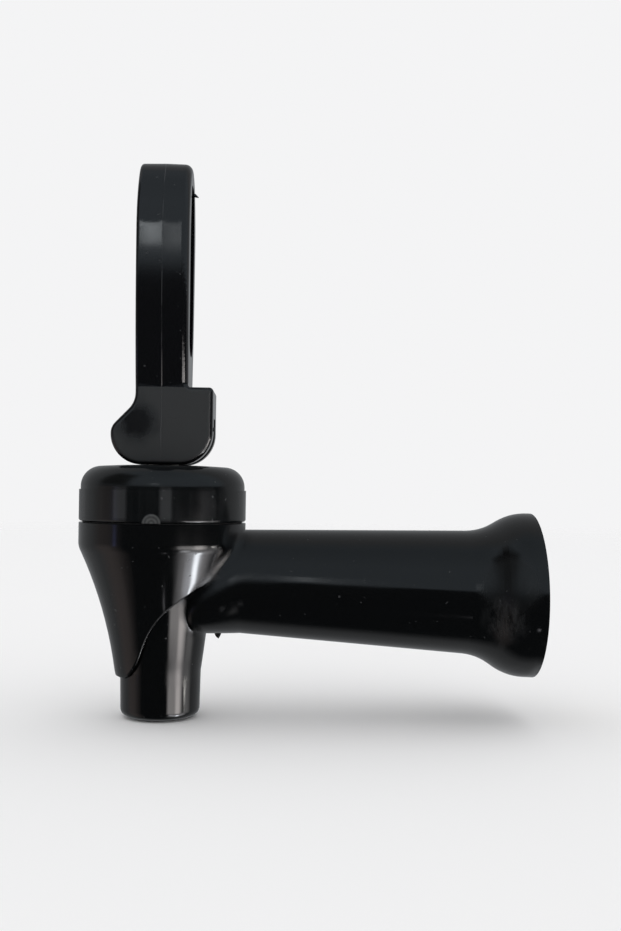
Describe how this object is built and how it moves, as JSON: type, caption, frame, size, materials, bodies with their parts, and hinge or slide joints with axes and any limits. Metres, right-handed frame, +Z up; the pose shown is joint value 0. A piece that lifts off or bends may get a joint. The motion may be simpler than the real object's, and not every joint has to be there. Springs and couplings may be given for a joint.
{
  "type": "samovar faucet",
  "caption": "Self-closing tap of black moulded plastic with an upright lift lever on a screwed bonnet, a downward spout and a side arm that flares to a threaded mouth.",
  "frame": {"origin": "centre of the flared mouth, on its face and on the inlet thread's axis", "axes": "+X out of the mouth towards the urn, +Z up along the valve axis, +Y to the back in the front view"},
  "size_m": [0.0905, 0.0331, 0.1099],
  "materials": {
    "body_plastic": "gloss",
    "bonnet_plastic": "gloss",
    "lever_plastic": "gloss with a satin foot",
    "black_rubber": "matte",
    "silicone": "translucent satin",
    "acetal": "satin",
    "spring_steel": "drawn",
    "insert_brass": "turned"
  },
  "bodies": {
    "housing": {"faucet_body": "body_plastic", "bonnet": "bonnet_plastic", "bonnet_gasket": "black_rubber", "gland_washer": "acetal", "stem_o_ring": "black_rubber", "closing_spring": "spring_steel", "inlet_insert": "insert_brass", "inlet_gasket": "silicone"},
    "plug": {"seat_plug": "silicone"},
    "stem": {"stem": "acetal", "lower_spring_washer": "spring_steel"},
    "lever": {"lever": "lever_plastic", "lever_pin": "spring_steel"}
  },
  "joints": [
    {"name": "valve_lift", "type": "slide", "parent": "housing", "child": "plug", "axis": [0, 0, 1], "range_m": [0, 0.00397], "stiffness_N_per_m": 600, "springref_m": -0.006, "deforming": ["closing_spring"]},
    {"name": "lever_swivel", "type": "hinge", "parent": "plug", "child": "stem", "pos_m": [-0.074, 0, 0], "axis": [0, 0, 1], "continuous": true},
    {"name": "lever_tilt", "type": "hinge", "parent": "stem", "child": "lever", "pos_m": [-0.074, 0, 0.031], "axis": [0, -1, 0], "range_deg": [0, 60]}
  ],
  "couplings": [
    {"joint": "lever_tilt", "follows": "valve_lift", "rad_per_m": 263.16}
  ]
}
